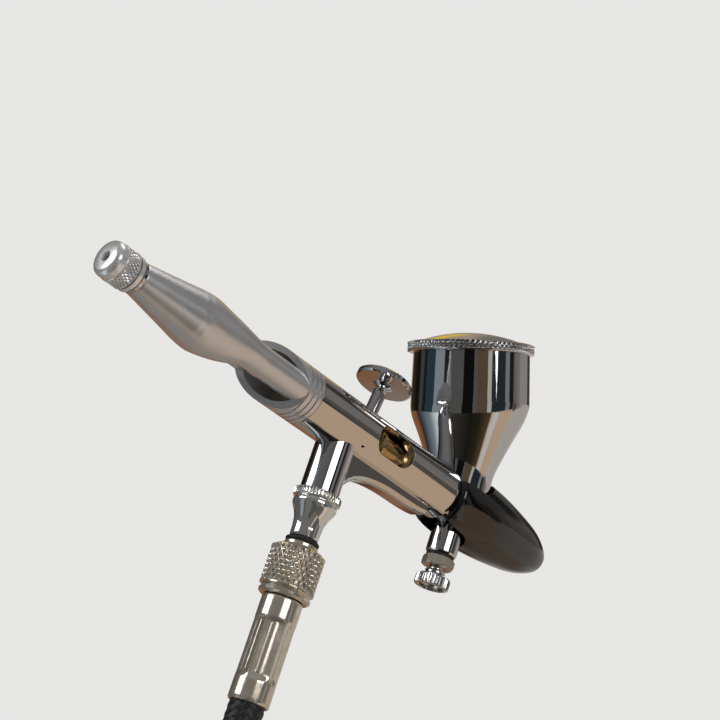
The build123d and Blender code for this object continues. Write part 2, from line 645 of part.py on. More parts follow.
def preset_knob():
    """Knurled end knob with a small screw hole in its face."""
    rear, front = KNOB_REAR, KNOB_FRONT
    outline = [(rear, 0), (rear, 2.9), (rear + 0.25, 3.35), (rear + 0.7, 3.7), (rear + 1.2, 3.8), (rear + 2.3, 3.8)]
    outline += [(rear + 2.5, KNOB_R), (rear + 5.4, KNOB_R), (rear + 5.6, 3.4), (rear + 5.9, 3.4), (rear + 6.0, 3.75)]
    outline += [(front - 0.2, 3.75), (front, 3.5), (front, 0)]
    bored = turned(outline) - rod_x(rear - 1, front + 1, PRESET_STEM_R - 0.3)
    return bored - rod_x(front - 4.5, front + 1, PRESET_STEM_R)


def knob_grub_screw():
    """Socket screw sunk in the knob's end."""
    screw = rod_x(KNOB_REAR + 1.0, KNOB_FRONT - 4.5, PRESET_STEM_R - 0.3)
    socket = extrude(Plane(origin=(KNOB_REAR + 0.9, 0, 0), z_dir=(1, 0, 0)) * RegularPolygon(0.55, 6), 1.2)
    return screw - socket


def preset_stem():
    """Stem that limits how far the needle can be drawn back."""
    groove = -58.0
    outline = [(KNOB_FRONT - 4.5, 0), (KNOB_FRONT - 4.5, PRESET_STEM_R)]
    outline += [(groove - 0.5, PRESET_STEM_R), (groove - 0.5, 0.85)]
    outline += [(groove + 0.5, 0.85), (groove + 0.5, PRESET_STEM_R), (PRESET_STEM_FRONT - 0.4, PRESET_STEM_R)]
    outline += [(PRESET_STEM_FRONT, 0.8), (PRESET_STEM_FRONT, 0)]
    return turned(outline)


def preset_o_ring():
    """O-ring that gives the preset stem its drag."""
    return ring(Pos(-58.0, 0, 0) * Rot(0, 90, 0), 1.12, 0.24)


PIECES = [
    main_body, air_passage_plug, needle, needle_chuck_guide, needle_chuck_nut, needle_spring, spring_case,
    packing_housing, needle_packing, packing_screw, trigger, auxiliary_lever, lever_pin, valve_plunger,
    valve_seal, valve_spring, valve_retainer, valve_casing, neck_o_ring, hose_nut, hose_stem, hose_washer,
    ferrule, hose_liner, hose_braid, mac_housing, mac_o_ring, mac_gland_nut, mac_screw, mac_stem_seal,
    paint_cup, cup_lid, head_seal, fluid_head, fluid_nozzle, nozzle_cap, needle_cap, nose_cap, handle,
    tail_collar, preset_knob, knob_grub_screw, preset_stem, preset_o_ring,
]

os.makedirs("parts", exist_ok=True)
for piece in PIECES:
    solid = piece()
    export_step(solid, f"parts/{piece.__name__}.step")
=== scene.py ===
import json
from math import cos, pi, radians, sin, tau

import bpy
from mathutils import Matrix, Vector


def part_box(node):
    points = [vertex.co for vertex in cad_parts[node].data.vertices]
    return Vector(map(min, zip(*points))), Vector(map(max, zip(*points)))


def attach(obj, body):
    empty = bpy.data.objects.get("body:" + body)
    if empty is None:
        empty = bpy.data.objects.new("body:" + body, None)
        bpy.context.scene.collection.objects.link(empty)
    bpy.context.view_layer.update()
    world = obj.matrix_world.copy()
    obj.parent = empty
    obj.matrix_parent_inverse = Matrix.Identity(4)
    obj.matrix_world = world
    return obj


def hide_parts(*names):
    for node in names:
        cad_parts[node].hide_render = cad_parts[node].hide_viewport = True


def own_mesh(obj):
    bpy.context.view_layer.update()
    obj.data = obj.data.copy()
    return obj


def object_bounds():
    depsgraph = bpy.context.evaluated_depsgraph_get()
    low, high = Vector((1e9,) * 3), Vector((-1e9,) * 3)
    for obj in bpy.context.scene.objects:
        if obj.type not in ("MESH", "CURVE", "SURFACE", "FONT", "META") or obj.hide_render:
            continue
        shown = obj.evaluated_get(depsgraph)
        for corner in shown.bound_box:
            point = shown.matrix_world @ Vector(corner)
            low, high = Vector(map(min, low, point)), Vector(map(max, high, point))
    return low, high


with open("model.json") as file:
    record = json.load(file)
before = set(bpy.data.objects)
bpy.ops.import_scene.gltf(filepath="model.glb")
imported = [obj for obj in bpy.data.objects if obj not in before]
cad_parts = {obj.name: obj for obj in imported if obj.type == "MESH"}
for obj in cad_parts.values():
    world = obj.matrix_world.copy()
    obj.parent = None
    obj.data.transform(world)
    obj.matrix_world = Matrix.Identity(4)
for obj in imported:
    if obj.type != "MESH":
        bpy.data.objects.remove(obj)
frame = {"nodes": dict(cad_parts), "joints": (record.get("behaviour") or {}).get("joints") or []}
cad_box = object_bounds()

# Looks for the gravity-feed airbrush. Metres, in the CAD frame: the barrel lies along X with its
# nozzle at +X and the trigger stands along +Z. Turned and knurled shapes are written in millimetres.
MM = 0.001

# ---- Camera: on the gun's right, behind it and a little below ----
CAMERA_AT = Vector((-0.22524, -0.23779, -0.10959))
CAMERA_RIGHT = Vector((0.61081, -0.73265, 0.30022))
CAMERA_BACK = Vector((-0.64113, -0.68016, -0.35543))
LENS_MM = 82.2
SENSOR_MM = 36.0

# ---- Studio ----
ROOM_PITCH = radians(8.0)
FLOOR_DROP = 0.076
FLOOR_SIZE = 3.0
FLOOR_CLEAR = (0.35, 1.2)
BACKDROP = (0.80, 0.795, 0.785)
FILL = (0.80, 0.80, 0.81)
FILL_STRENGTH = 0.62
GLOSS_GAIN = 1.2
FLOOR_TONES = ((0.86, 0.855, 0.85), (0.90, 0.895, 0.89))


def linear(*channels):
    """Scene-linear colour of display values, with alpha."""
    if len(channels) == 1:
        channels = channels * 3
    below = [c / 12.92 if c <= 0.04045 else ((c + 0.055) / 1.055) ** 2.4 for c in channels]
    return (*below, 1.0)


# ---------------------------------------------------------------- node graphs


class Graph:
    """Adds nodes to one node tree. An input is a number, a colour or another node's output."""

    def __init__(self, tree):
        self.tree = tree
        tree.nodes.clear()

    def add(self, kind, inputs=None, output=0, **settings):
        node = self.tree.nodes.new(kind)
        for name, value in settings.items():
            setattr(node, name, value)
        for key, value in (inputs or {}).items():
            if isinstance(value, bpy.types.NodeSocket):
                self.tree.links.new(value, node.inputs[key])
            else:
                node.inputs[key].default_value = value
        return node.outputs[output] if len(node.outputs) else node

    def math(self, operation, a, b=0.0, clamp=False):
        return self.add("ShaderNodeMath", {0: a, 1: b}, operation=operation, use_clamp=clamp)

    def dot(self, a, b):
        return self.add("ShaderNodeVectorMath", {0: a, 1: b}, output="Value", operation="DOT_PRODUCT")

    def ramp(self, factor, stops, interpolation="LINEAR"):
        node = self.tree.nodes.new("ShaderNodeValToRGB")
        node.color_ramp.interpolation = interpolation
        elements = node.color_ramp.elements
        elements[0].position, elements[0].color = stops[0]
        elements[1].position, elements[1].color = stops[-1]
        for place, colour in stops[1:-1]:
            elements.new(place).color = colour
        self.tree.links.new(factor, node.inputs[0])
        return node.outputs[0]

    def smooth(self, value, low, high, to_low=0.0, to_high=1.0):
        inputs = {"Value": value, 1: low, 2: high, 3: to_low, 4: to_high}
        return self.add("ShaderNodeMapRange", inputs, interpolation_type="SMOOTHSTEP")

    def mix(self, factor, a, b):
        return self.add("ShaderNodeMix", {0: factor, 6: a, 7: b}, output=2, data_type="RGBA")

    def noise(self, place, scale, detail=2.0, roughness=0.5, output="Fac"):
        inputs = {"Vector": place, "Scale": scale, "Detail": detail, "Roughness": roughness}
        return self.add("ShaderNodeTexNoise", inputs, output=output)

    def stretched(self, place, scale):
        return self.add("ShaderNodeMapping", {"Vector": place, "Scale": scale})

    def place(self):
        return self.add("ShaderNodeTexCoord", output="Object")


# ---------------------------------------------------------------- studio


def make_camera():
    up = CAMERA_BACK.cross(CAMERA_RIGHT)
    camera = bpy.data.objects.new("camera", bpy.data.cameras.new("camera"))
    bpy.context.scene.collection.objects.link(camera)
    axes = Matrix((CAMERA_RIGHT, up, CAMERA_BACK)).transposed()
    camera.matrix_world = Matrix.Translation(CAMERA_AT) @ axes.to_4x4()
    camera.data.lens = LENS_MM
    camera.data.sensor_width = SENSOR_MM
    camera.data.clip_start = 0.01
    bpy.context.scene.camera = camera
    return camera


def room_axes():
    """Right, up and ahead of a level room in which the camera looks slightly down."""
    camera_up = CAMERA_BACK.cross(CAMERA_RIGHT)
    up = camera_up * cos(ROOM_PITCH) + CAMERA_BACK * sin(ROOM_PITCH)
    return CAMERA_RIGHT, up, up.cross(CAMERA_RIGHT)


# Colours that polished metal sees round the room, from behind the camera and round by its left.
# Each stop is the azimuth in degrees where a colour starts (0 is straight ahead, 90 to the right).
LEVEL_STRIPS = [
    (-180, 0.05, 0.05, 0.05), (-163, 0.28, 0.28, 0.27), (-131, 0.11, 0.13, 0.13),
    (-121, 0.46, 0.48, 0.50), (-101, 0.14, 0.20, 0.23), (-80, 0.09, 0.10, 0.11),
    (-71, 0.22, 0.23, 0.22), (-60, 0.07, 0.07, 0.06), (-43, 0.17, 0.12, 0.08),
    (-22, 0.36, 0.33, 0.30), (-12, 0.60, 0.54, 0.47), (10, 0.42, 0.40, 0.38),
    (20, 0.23, 0.20, 0.19), (38, 0.50, 0.48, 0.48), (72, 0.46, 0.41, 0.39),
    (81, 0.34, 0.29, 0.25), (91, 0.09, 0.10, 0.11), (101, 0.42, 0.42, 0.42),
    (110, 0.13, 0.15, 0.17), (140, 0.60, 0.60, 0.57), (149, 0.31, 0.25, 0.20),
    (169, 0.30, 0.28, 0.27), (176, 0.05, 0.05, 0.05),
]
TABLE_STRIPS = [
    (-180, 0.09, 0.09, 0.07), (-150, 0.17, 0.16, 0.15), (-133, 0.24, 0.25, 0.25),
    (-116, 0.86, 0.86, 0.82), (-106, 0.70, 0.73, 0.72), (-92, 0.42, 0.47, 0.50),
    (-64, 0.21, 0.24, 0.27), (-54, 0.16, 0.14, 0.12), (-48, 0.42, 0.29, 0.19),
    (-12, 0.52, 0.34, 0.21), (-4, 0.30, 0.22, 0.16), (4, 0.69, 0.67, 0.64),
    (40, 0.60, 0.58, 0.56), (95, 0.62, 0.60, 0.57), (130, 0.70, 0.68, 0.66),
    (137, 0.66, 0.62, 0.55), (140, 0.28, 0.22, 0.14), (160, 0.13, 0.12, 0.09),
    (180, 0.09, 0.09, 0.07),
]
# Larger soft areas laid over the strips: azimuth and elevation limits, edge softness and colour.
AREAS = [
    ((6, 88), (1, 26), 3, (0.40, 0.39, 0.38)),
    ((42, 60), (1, 26), 3, (0.20, 0.20, 0.20)),
    ((84, 94), (-15, 0), 2, (0.28, 0.27, 0.26)),
    ((92, 122), (-76, -12), 2, (0.66, 0.57, 0.48)),
    ((-30, 30), (-62, -46), 8, (0.47, 0.44, 0.41)),
    ((-20, -13), (8, 19), 2, (0.80, 0.66, 0.08)),
    ((-7, 3), (9, 15), 2, (0.83, 0.69, 0.10)),
    ((12, 20), (7, 20), 2, (0.78, 0.63, 0.08)),
]


# Elevations in degrees over which one band of the room gives way to the next, from below upwards.
GROUND_TO_TABLE = (-62, -50)
TABLE_TO_LEVEL = (-13.5, -11.5)
LEVEL_TO_CEILING = (21, 25)
CEILING_RISE = (30, 75)
CEILING = (linear(0.27, 0.26, 0.25), linear(0.42, 0.42, 0.43))
GROUND_TURN = (-20, 90)
GROUND = (linear(0.44, 0.41, 0.38), linear(0.60, 0.52, 0.44))


def strips(graph, azimuth, stops, interpolation):
    """A band of colours round the room; azimuth is 0 to 1 from straight behind."""
    placed = [((degrees + 180) / 360, linear(*colour)) for degrees, *colour in stops]
    return graph.ramp(azimuth, placed, interpolation)


def room_colour(graph):
    """What polished metal reflects: a dim room, a pale table and strips of colour between."""
    direction = graph.add("ShaderNodeTexCoord", output="Generated")
    right, up, ahead = room_axes()
    turn = graph.math("ARCTAN2", graph.dot(direction, right), graph.dot(direction, ahead))
    azimuth = graph.math("ADD", graph.math("DIVIDE", turn, tau), 0.5)
    degrees = graph.math("MULTIPLY", turn, 360 / tau)
    elevation = graph.math("MULTIPLY", graph.math("ARCSINE", graph.dot(direction, up)), 360 / tau)

    level = strips(graph, azimuth, LEVEL_STRIPS, "CONSTANT")
    table = strips(graph, azimuth, TABLE_STRIPS, "LINEAR")
    ceiling = graph.mix(graph.smooth(elevation, *CEILING_RISE), *CEILING)
    ground = graph.mix(graph.smooth(degrees, *GROUND_TURN), *GROUND)
    colour = graph.mix(graph.smooth(elevation, *GROUND_TO_TABLE), ground, table)
    colour = graph.mix(graph.smooth(elevation, *TABLE_TO_LEVEL), colour, level)
    colour = graph.mix(graph.smooth(elevation, *LEVEL_TO_CEILING), colour, ceiling)
    for (left, right_side), (low, high), soft, shade in AREAS:
        across = graph.math(
            "MULTIPLY", graph.smooth(degrees, left - soft, left + soft),
            graph.smooth(degrees, right_side - soft, right_side + soft, 1.0, 0.0))
        along = graph.math(
            "MULTIPLY", graph.smooth(elevation, low - soft, low + soft),
            graph.smooth(elevation, high - soft, high + soft, 1.0, 0.0))
        colour = graph.mix(graph.math("MULTIPLY", across, along), colour, linear(*shade))
    return colour


def make_world():
    """Plain pale light for the eye and for matt surfaces, and the room for polished ones."""
    world = bpy.data.worlds.new("studio")
    world.use_nodes = True
    graph = Graph(world.node_tree)
    rays = graph.tree.nodes.new("ShaderNodeLightPath")
    glossy = graph.add("ShaderNodeBackground", {"Color": room_colour(graph), "Strength": GLOSS_GAIN})
    fill = graph.add("ShaderNodeBackground", {"Color": (*FILL, 1.0), "Strength": FILL_STRENGTH})
    plain = graph.add("ShaderNodeBackground", {"Color": (*BACKDROP, 1.0), "Strength": 1.0})
    lit = graph.add("ShaderNodeMixShader", {0: rays.outputs["Is Glossy Ray"], 1: fill, 2: glossy})
    seen = graph.add("ShaderNodeMixShader", {0: rays.outputs["Is Camera Ray"], 1: lit, 2: plain})
    graph.add("ShaderNodeOutputWorld", {"Surface": seen})
    world.cycles.sampling_method = "NONE"
    bpy.context.scene.world = world


def softbox(name, azimuth, elevation, distance, width, height, radiance, tint):
    """A soft rectangular light aimed at the middle of the object."""
    right, up, ahead = room_axes()
    turn, rise = radians(azimuth), radians(elevation)
    level = right * sin(turn) + ahead * cos(turn)
    towards = level * cos(rise) + up * sin(rise)
    low, high = cad_box
    light = bpy.data.lights.new(name, "AREA")
    light.shape, light.size, light.size_y = "RECTANGLE", width, height
    light.energy = radiance * pi * width * height
    light.color = tint
    lamp = bpy.data.objects.new(name, light)
    lamp.location = (low + high) / 2 + towards * distance
    lamp.rotation_mode = "QUATERNION"
    lamp.rotation_quaternion = towards.to_track_quat("Z", "Y")
    bpy.context.scene.collection.objects.link(lamp)


# Name, azimuth and elevation in degrees, distance, width and height in metres, radiance and tint.
SOFTBOXES = [
    ("window_left", -94, 39, 1.0, 0.62, 0.32, 3.2, (0.97, 0.985, 1.0)),
    ("window_right", 136, 31, 1.0, 0.60, 0.34, 2.6, (1.0, 0.985, 0.96)),
    ("top_front", 35, 52, 1.0, 0.55, 0.45, 2.0, (1.0, 1.0, 1.0)),
]


def make_lights():
    for box in SOFTBOXES:
        softbox(*box)


def make_floor():
    """Pale floor that fades into the backdrop and can be looked through from below."""
    low, high = cad_box
    mesh = bpy.data.meshes.new("floor")
    half, z = FLOOR_SIZE / 2, low.z - FLOOR_DROP
    corners = [(-half, -half, z), (half, -half, z), (half, half, z), (-half, half, z)]
    mesh.from_pydata(corners, [], [(0, 1, 2, 3)])
    floor = bpy.data.objects.new("floor", mesh)
    bpy.context.scene.collection.objects.link(floor)
    material = bpy.data.materials.new("pale_floor")
    material.use_nodes = True
    graph = Graph(material.node_tree)
    place = graph.place()
    grain = graph.noise(place, 900.0, 3.0)
    tone = graph.mix(grain, *(linear(*shade) for shade in FLOOR_TONES))
    matt = graph.add("ShaderNodeBsdfPrincipled", {"Base Color": tone, "Roughness": 0.8})
    away = graph.add("ShaderNodeVectorMath", {0: place}, output="Value", operation="LENGTH")
    fade = graph.smooth(away, *FLOOR_CLEAR)
    below = graph.add("ShaderNodeNewGeometry", output="Backfacing")
    clear = graph.add("ShaderNodeBsdfTransparent")
    unseen = graph.math("MAXIMUM", fade, below)
    surface = graph.add("ShaderNodeMixShader", {0: unseen, 1: matt, 2: clear})
    graph.add("ShaderNodeOutputMaterial", {"Surface": surface})
    mesh.materials.append(material)
    floor.visible_glossy = False


# ---------------------------------------------------------------- finishes


def finish(name, build):
    """A material whose node graph build(graph) returns a surface shader."""
    material = bpy.data.materials.new(name)
    material.use_nodes = True
    graph = Graph(material.node_tree)
    graph.add("ShaderNodeOutputMaterial", {"Surface": build(graph)})
    return material


def crevice(graph, distance):
    """Ambient occlusion: 1 in the open and 0 deep in a recess. The finishes paint shade with it."""
    inputs = {"Distance": distance}
    return graph.add("ShaderNodeAmbientOcclusion", inputs, output="AO", samples=4)


def bumped(graph, height, distance, strength=1.0, normal=None):
    inputs = {"Height": height, "Distance": distance, "Strength": strength}
    if normal is not None:
        inputs["Normal"] = normal
    return graph.add("ShaderNodeBump", inputs)


def soft_edges(graph, radius):
    """Normals that round off every sharp edge by radius."""
    return graph.add("ShaderNodeBevel", {"Radius": radius}, samples=4)


def chrome_surface(graph, tint=(0.80, 0.80, 0.81), polish=0.03, metal=1.0):
    """Polished plating: faint smudges, hairline wiping marks and a slow ripple in the reflections."""
    place = graph.place()
    smudge = graph.noise(place, 160.0, 4.0, 0.6)
    hairline = graph.noise(graph.stretched(place, (400.0, 9000.0, 9000.0)), 1.0, 2.0)
    rough = graph.smooth(smudge, 0.42, 0.75, polish, polish + 0.07)
    ripple = bumped(graph, graph.noise(place, 210.0, 1.0), 0.00001, 0.5, soft_edges(graph, 0.05 * MM))
    normal = bumped(graph, hairline, 0.0000004, 0.5, ripple)
    # Painted shade: deep in recesses, found by ambient occlusion, the colour darkens towards brown.
    recess_shade = graph.smooth(crevice(graph, 0.0012), 0.25, 0.85, 0.62, 1.0)
    colour = graph.mix(recess_shade, (0.10, 0.085, 0.07, 1.0), (*tint, 1.0))
    inputs = {"Base Color": colour, "Metallic": metal, "Roughness": rough, "Normal": normal}
    return graph.add("ShaderNodeBsdfPrincipled", inputs)


def nickel_surface(graph):
    """Warm plating with painted shade, dark brown, in the recesses and uneven polish."""
    place = graph.place()
    cloud = graph.noise(place, 420.0, 5.0, 0.65)
    drawn = graph.noise(graph.stretched(place, (2600.0, 2600.0, 160.0)), 1.0, 3.0, 0.6)
    warm = graph.mix(graph.smooth(cloud, 0.35, 0.7), (0.86, 0.80, 0.70, 1.0), (0.76, 0.67, 0.53, 1.0))
    # Painted shade: deep in recesses, found by ambient occlusion, the colour darkens to dark brown.
    painted_shade = graph.smooth(crevice(graph, 0.0009), 0.20, 0.80)
    colour = graph.mix(painted_shade, (0.15, 0.11, 0.07, 1.0), warm)
    uneven = graph.smooth(cloud, 0.3, 0.8, 0.07, 0.22)
    rough = graph.math("ADD", uneven, graph.math("MULTIPLY", drawn, 0.06))
    ripple = bumped(graph, cloud, 0.00002, 0.6, soft_edges(graph, 0.06 * MM))
    normal = bumped(graph, drawn, 0.000002, 0.6, ripple)
    inputs = {"Base Color": colour, "Metallic": 0.82, "Roughness": rough, "Normal": normal}
    return graph.add("ShaderNodeBsdfPrincipled", inputs)


def satin_surface(graph):
    """Bead-blasted aluminium: fine even grain, faint handling marks and brighter edges."""
    place = graph.place()
    grain = graph.noise(place, 9000.0, 2.0, 0.7)
    fine = graph.noise(place, 2600.0, 3.0, 0.6)
    handled = graph.noise(place, 110.0, 4.0, 0.6)
    tone = graph.mix(handled, (0.74, 0.74, 0.75, 1.0), (0.84, 0.84, 0.85, 1.0))
    # Painted shade: deep in recesses, found by ambient occlusion, the colour darkens to near black.
    painted_shade = graph.smooth(crevice(graph, 0.0015), 0.2, 0.9, 0.5, 1.0)
    colour = graph.mix(painted_shade, (0.10, 0.09, 0.08, 1.0), tone)
    rough = graph.smooth(handled, 0.35, 0.7, 0.27, 0.36)
    normal = bumped(graph, grain, 0.000006, 0.35, soft_edges(graph, 0.10 * MM))
    normal = bumped(graph, fine, 0.000006, 0.3, normal)
    inputs = {"Base Color": colour, "Metallic": 0.82, "Roughness": rough, "Normal": normal}
    return graph.add("ShaderNodeBsdfPrincipled", inputs)


def polished_satin_surface(graph):
    """Turned aluminium, polished over a satin ground, with painted shade in the recesses."""
    place = graph.place()
    turned = graph.noise(graph.stretched(place, (9000.0, 60.0, 60.0)), 1.0, 2.0)
    cloud = graph.noise(place, 500.0, 3.0)
    # Painted shade: deep in recesses, found by ambient occlusion, the colour darkens to near black.
    painted_shade = graph.smooth(crevice(graph, 0.0006), 0.25, 0.85)
    colour = graph.mix(painted_shade, (0.12, 0.11, 0.10, 1.0), (0.92, 0.92, 0.92, 1.0))
    rough = graph.smooth(cloud, 0.35, 0.7, 0.22, 0.30)
    normal = bumped(graph, turned, 0.0000015, 0.4, soft_edges(graph, 0.05 * MM))
    inputs = {"Base Color": colour, "Metallic": 0.72, "Roughness": rough, "Normal": normal}
    return graph.add("ShaderNodeBsdfPrincipled", inputs)


def steel_surface(graph, shade=0.62, grain_along=(120.0, 5000.0, 5000.0)):
    """Ground steel with fine scratches along its length."""
    place = graph.place()
    scratch = graph.noise(graph.stretched(place, grain_along), 1.0, 3.0, 0.6)
    tone = graph.mix(scratch, (shade * 0.85,) * 3 + (1.0,), (shade, shade, shade * 1.01, 1.0))
    normal = bumped(graph, scratch, 0.0000015, 0.6)
    rough = graph.smooth(scratch, 0.3, 0.7, 0.14, 0.26)
    inputs = {"Base Color": tone, "Metallic": 1.0, "Roughness": rough, "Normal": normal}
    return graph.add("ShaderNodeBsdfPrincipled", inputs)


def brass_surface(graph):
    """Turned brass with painted shade, dark brown, in the recesses."""
    place = graph.place()
    turned = graph.noise(graph.stretched(place, (7000.0, 90.0, 90.0)), 1.0, 2.0)
    tarnish = graph.noise(place, 350.0, 4.0, 0.6)
    tone = graph.mix(graph.smooth(tarnish, 0.4, 0.7), (0.70, 0.50, 0.24, 1.0), (0.60, 0.41, 0.18, 1.0))
    # Painted shade: deep in recesses, found by ambient occlusion, the colour darkens to dark brown.
    colour = graph.mix(graph.smooth(crevice(graph, 0.001), 0.2, 0.8), (0.14, 0.07, 0.02, 1.0), tone)
    normal = bumped(graph, turned, 0.0000008, 0.3, soft_edges(graph, 0.05 * MM))
    rough = graph.smooth(tarnish, 0.35, 0.75, 0.16, 0.24)
    inputs = {"Base Color": colour, "Metallic": 1.0, "Roughness": rough, "Normal": normal}
    return graph.add("ShaderNodeBsdfPrincipled", inputs)


def rubber_surface(graph):
    """Black moulded rubber with a dusty bloom."""
    place = graph.place()
    bloom = graph.noise(place, 700.0, 4.0, 0.6)
    grain = graph.noise(place, 5200.0, 2.0)
    tone = graph.mix(bloom, (0.010, 0.010, 0.011, 1.0), (0.030, 0.029, 0.028, 1.0))
    normal = bumped(graph, grain, 0.00001, 0.5)
    rough = graph.smooth(bloom, 0.3, 0.7, 0.42, 0.62)
    inputs = {"Base Color": tone, "Roughness": rough, "Normal": normal}
    return graph.add("ShaderNodeBsdfPrincipled", inputs)


def ptfe_surface(graph):
    """Waxy white seal plastic."""
    place = graph.place()
    cloud = graph.noise(place, 600.0, 3.0)
    tone = graph.mix(cloud, (0.78, 0.77, 0.73, 1.0), (0.86, 0.85, 0.82, 1.0))
    normal = bumped(graph, graph.noise(place, 4000.0, 2.0), 0.000004, 0.4)
    inputs = {"Base Color": tone, "Roughness": 0.34, "Normal": normal, "Subsurface Weight": 0.15,
              "Subsurface Radius": (0.001, 0.001, 0.001)}
    return graph.add("ShaderNodeBsdfPrincipled", inputs)


def black_gloss_surface(graph):
    """Deep black lacquer: slight orange peel, fine dust and hairlines that only roughen the gloss."""
    place = graph.place()
    peel = graph.noise(place, 900.0, 2.0)
    slow = graph.noise(place, 120.0, 2.0)
    dust = graph.smooth(graph.noise(place, 5200.0, 2.0, 0.8), 0.68, 0.75)
    hairline = graph.noise(graph.stretched(place, (160.0, 6000.0, 6000.0)), 1.0, 2.0)
    tone = graph.mix(dust, (0.0035, 0.0030, 0.0030, 1.0), (0.022, 0.021, 0.020, 1.0))
    normal = bumped(graph, peel, 0.000004, 0.25, soft_edges(graph, 0.18 * MM))
    normal = bumped(graph, slow, 0.00002, 0.3, normal)
    rough = graph.smooth(hairline, 0.45, 0.8, 0.04, 0.10)
    inputs = {"Base Color": tone, "Roughness": rough, "Normal": normal, "IOR": 1.62,
              "Coat Weight": 0.5, "Coat Roughness": 0.02}
    return graph.add("ShaderNodeBsdfPrincipled", inputs)


def braid_surface(graph):
    """Glossy black yarn with fine filaments along each strand."""
    place = graph.place()
    filament = graph.noise(graph.stretched(place, (9000.0, 9000.0, 2500.0)), 1.0, 3.0, 0.7)
    fade = graph.noise(place, 600.0, 3.0)
    tone = graph.mix(fade, (0.006, 0.006, 0.007, 1.0), (0.022, 0.022, 0.024, 1.0))
    normal = bumped(graph, filament, 0.00003, 0.7)
    rough = graph.smooth(filament, 0.3, 0.7, 0.22, 0.42)
    inputs = {"Base Color": tone, "Roughness": rough, "Normal": normal, "IOR": 1.6,
              "Sheen Weight": 0.25, "Sheen Roughness": 0.4}
    return graph.add("ShaderNodeBsdfPrincipled", inputs)


FINISHES = {
    "chrome": chrome_surface,
    "nickel": nickel_surface,
    "satin_aluminium": satin_surface,
    "needle_steel": steel_surface,
    "spring_steel": lambda graph: steel_surface(graph, 0.45, (900.0, 900.0, 900.0)),
    "brass": brass_surface,
    "rubber": rubber_surface,
    "ptfe": ptfe_surface,
    "black_gloss": black_gloss_surface,
    "hose_cloth": braid_surface,
    "polished_satin": polished_satin_surface,
    "fitting_chrome": lambda graph: chrome_surface(graph, (0.90, 0.89, 0.87), 0.045, 0.88),
}


def make_finishes():
    return {name: finish(name + "_finish", build) for name, build in FINISHES.items()}


# ---------------------------------------------------------------- turned and knurled pieces

# Share of a knurl pyramid's height that its flat top leaves, and the power that rounds straight teeth.
PYRAMID_CUT = 0.86
TOOTH_ROUNDING = 0.7


def tent(t):
    """0 at whole numbers, rising straight to 1 halfway between."""
    return 1 - abs(2 * (t % 1) - 1)


def measured(node, origin, axis):
    """(low, high, radius) of a CAD node along and about an axis, in millimetres."""
    points = [v.co - origin for v in frame["nodes"][node].data.vertices]
    along = [p.dot(axis) for p in points]
    radius = max((p - axis * a).length for p, a in zip(points, along))
    return min(along) / MM, max(along) / MM, radius / MM


def axis_matrix(origin, axis):
    """Places a shape built about +Z in millimetres onto an axis."""
    turn = axis.to_track_quat("Z", "Y").to_matrix().to_4x4()
    return Matrix.Translation(origin) @ turn @ Matrix.Scale(MM, 4)


def link_mesh(name, points, faces, material, matrix, crease):
    mesh = bpy.data.meshes.new(name)
    mesh.from_pydata(points, [], faces)
    mesh.transform(matrix)
    mesh.validate()
    mesh.shade_smooth()
    mesh.set_sharp_from_angle(angle=radians(crease))
    mesh.materials.append(material)
    obj = bpy.data.objects.new(name, mesh)
    bpy.context.scene.collection.objects.link(obj)
    return obj


def turned_faces(rows, columns, relief):
    """Points and faces of a closed ring-shaped solid turned about Z.

    Each row is (along, radius, relief share). relief(turn, along) gives the height that a full share
    adds outwards, where turn is 0 to 1 round the axis.
    Quads between two rows with relief are split four ways, so that ridges in both slants stay crisp.
    """
    points, faces = [], []

    def corner(column, along, radius, share):
        turn = column / columns
        height = relief(turn, along) * share if share else 0.0
        angle = turn * tau
        return ((radius + height) * cos(angle), (radius + height) * sin(angle), along)

    for along, radius, share in rows:
        points += [corner(column, along, radius, share) for column in range(columns)]
    for row, here in enumerate(rows):
        after = rows[(row + 1) % len(rows)]
        middle = [(a + b) / 2 for a, b in zip(here, after)]
        for column in range(columns):
            beside = (column + 1) % columns
            a, b = row * columns + column, row * columns + beside
            d = ((row + 1) % len(rows)) * columns + column
            c = ((row + 1) % len(rows)) * columns + beside
            if here[2] and after[2]:
                points.append(corner(column + 0.5, *middle))
                centre = len(points) - 1
                faces += [(a, b, centre), (b, c, centre), (c, d, centre), (d, a, centre)]
            else:
                faces.append((a, b, c, d))
    return points, faces


def turned_mesh(name, rows, columns, material, matrix, relief=None, crease=32.0):
    """A closed ring-shaped solid turned about Z; turned_faces says what the rows hold."""
    points, faces = turned_faces(rows, columns, relief)
    return link_mesh(name, points, faces, material, matrix, crease)


def knurl_rows(low, high, radius, step, fade=1):
    """Evenly spaced relief rows, with the relief run out over the first and last few."""
    count = max(2, round((high - low) / step))
    rows = []
    for index in range(count + 1):
        share = min(1.0, index / fade, (count - index) / fade) if fade else 1.0
        rows.append((low + (high - low) * index / count, radius, max(share, 0.001)))
    return rows


def diamond_knurl(teeth, pitch, depth):
    """Flat-topped pyramids between two crossing sets of helical grooves."""
    def relief(turn, along):
        one, other = tent(turn * teeth + along / pitch), tent(turn * teeth - along / pitch)
        return -depth * (1 - min(one, other, PYRAMID_CUT) / PYRAMID_CUT)
    return relief


def straight_knurl(teeth, depth):
    """Rounded teeth along the axis."""
    def relief(turn, along):
        return -depth * (1 - tent(turn * teeth) ** TOOTH_ROUNDING)
    return relief


def plain(points, start=0.0):
    """Rows without relief, with every place along the axis counted from start."""
    return [(start + along, radius, 0.0) for along, radius in points]


def fit(piece, node, body):
    """Puts a piece on its body in place of a CAD node, which it hides."""
    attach(piece, body)
    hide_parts(node)


DOWN = Vector((0, 0, -1))
REARWARDS = Vector((-1, 0, 0))
MIDDLE = Vector((0, 0, 0))
# How far diamond knurls stand proud of the CAD's plain surface, and the angle that stays crisp.
KNURL_PROUD = 0.02
TOOTH_CREASE = 30.0

